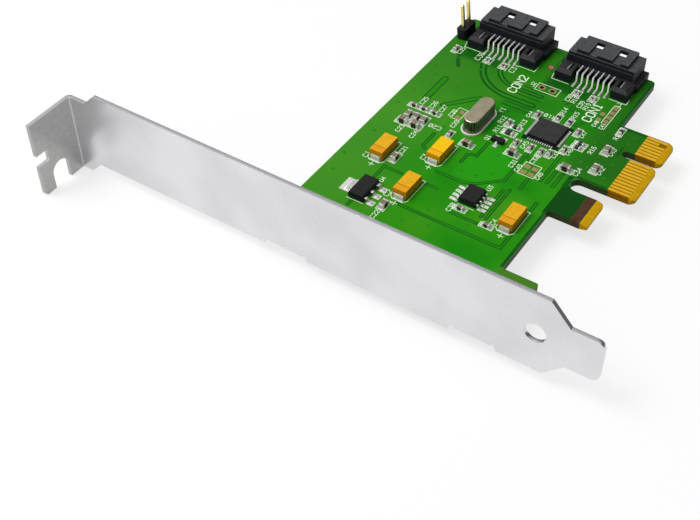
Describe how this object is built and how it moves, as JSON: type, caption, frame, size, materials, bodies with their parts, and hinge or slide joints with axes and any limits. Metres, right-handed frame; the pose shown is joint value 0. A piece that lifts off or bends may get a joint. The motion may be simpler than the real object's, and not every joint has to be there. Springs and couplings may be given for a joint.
{
  "type": "raid controller card",
  "caption": "Low green expansion card with a full-height slot bracket, a one-lane card edge, right-angle data sockets at its far edge and small soldered parts.",
  "frame": {"origin": "on the bracket's outer face, level with the tip of the card edge and with the board's component side", "axes": "+X from the bracket's outer face along the card edge, +Y from the card edge's tip towards the bracket's flange, +Z out of the board's component side"},
  "size_m": [0.097, 0.12, 0.0212],
  "materials": {
    "solder_mask": "glossy green solder mask on glass-fibre laminate",
    "gold": "gold plating",
    "bracket_steel": "nickel-plated sheet steel",
    "screw_steel": "plated steel",
    "black_moulding": "matt black moulding",
    "tinned_metal": "tin plating",
    "crystal_metal": "satin nickel",
    "tantalum_yellow": "satin yellow moulding",
    "package_black": "matt black moulding",
    "ceramic_tan": "fired ceramic"
  },
  "bodies": {
    "root": {"bare_pads": "tinned_metal", "bracket_screws": "screw_steel", "capacitor_1_body": "tantalum_yellow", "capacitor_1_terminals": "tinned_metal", "capacitor_2_body": "tantalum_yellow", "capacitor_2_terminals": "tinned_metal", "capacitor_3_body": "tantalum_yellow", "capacitor_3_terminals": "tinned_metal", "capacitor_4_body": "tantalum_yellow", "capacitor_4_terminals": "tinned_metal", "card_bracket": "bracket_steel", "chip_capacitor_bodies": "ceramic_tan", "chip_capacitor_ends": "tinned_metal", "chip_resistor_bodies": "package_black", "chip_resistor_ends": "tinned_metal", "circuit_board": "solder_mask", "controller_chip_body": "package_black", "controller_chip_leads": "tinned_metal", "crystal_base": "crystal_metal", "crystal_can": "crystal_metal", "data_socket_1_contacts": "tinned_metal", "data_socket_1_holddowns": "tinned_metal", "data_socket_1_housing": "black_moulding", "data_socket_2_contacts": "tinned_metal", "data_socket_2_holddowns": "tinned_metal", "data_socket_2_housing": "black_moulding", "edge_fingers_back": "gold", "edge_fingers_front": "gold", "memory_chip_body": "package_black", "memory_chip_leads": "tinned_metal", "pin_header_base": "black_moulding", "pin_header_pins": "gold", "plated_rings": "tinned_metal", "regulator_body": "package_black", "regulator_leads": "tinned_metal", "transistor_body": "package_black", "transistor_leads": "tinned_metal"}
  },
  "joints": []
}
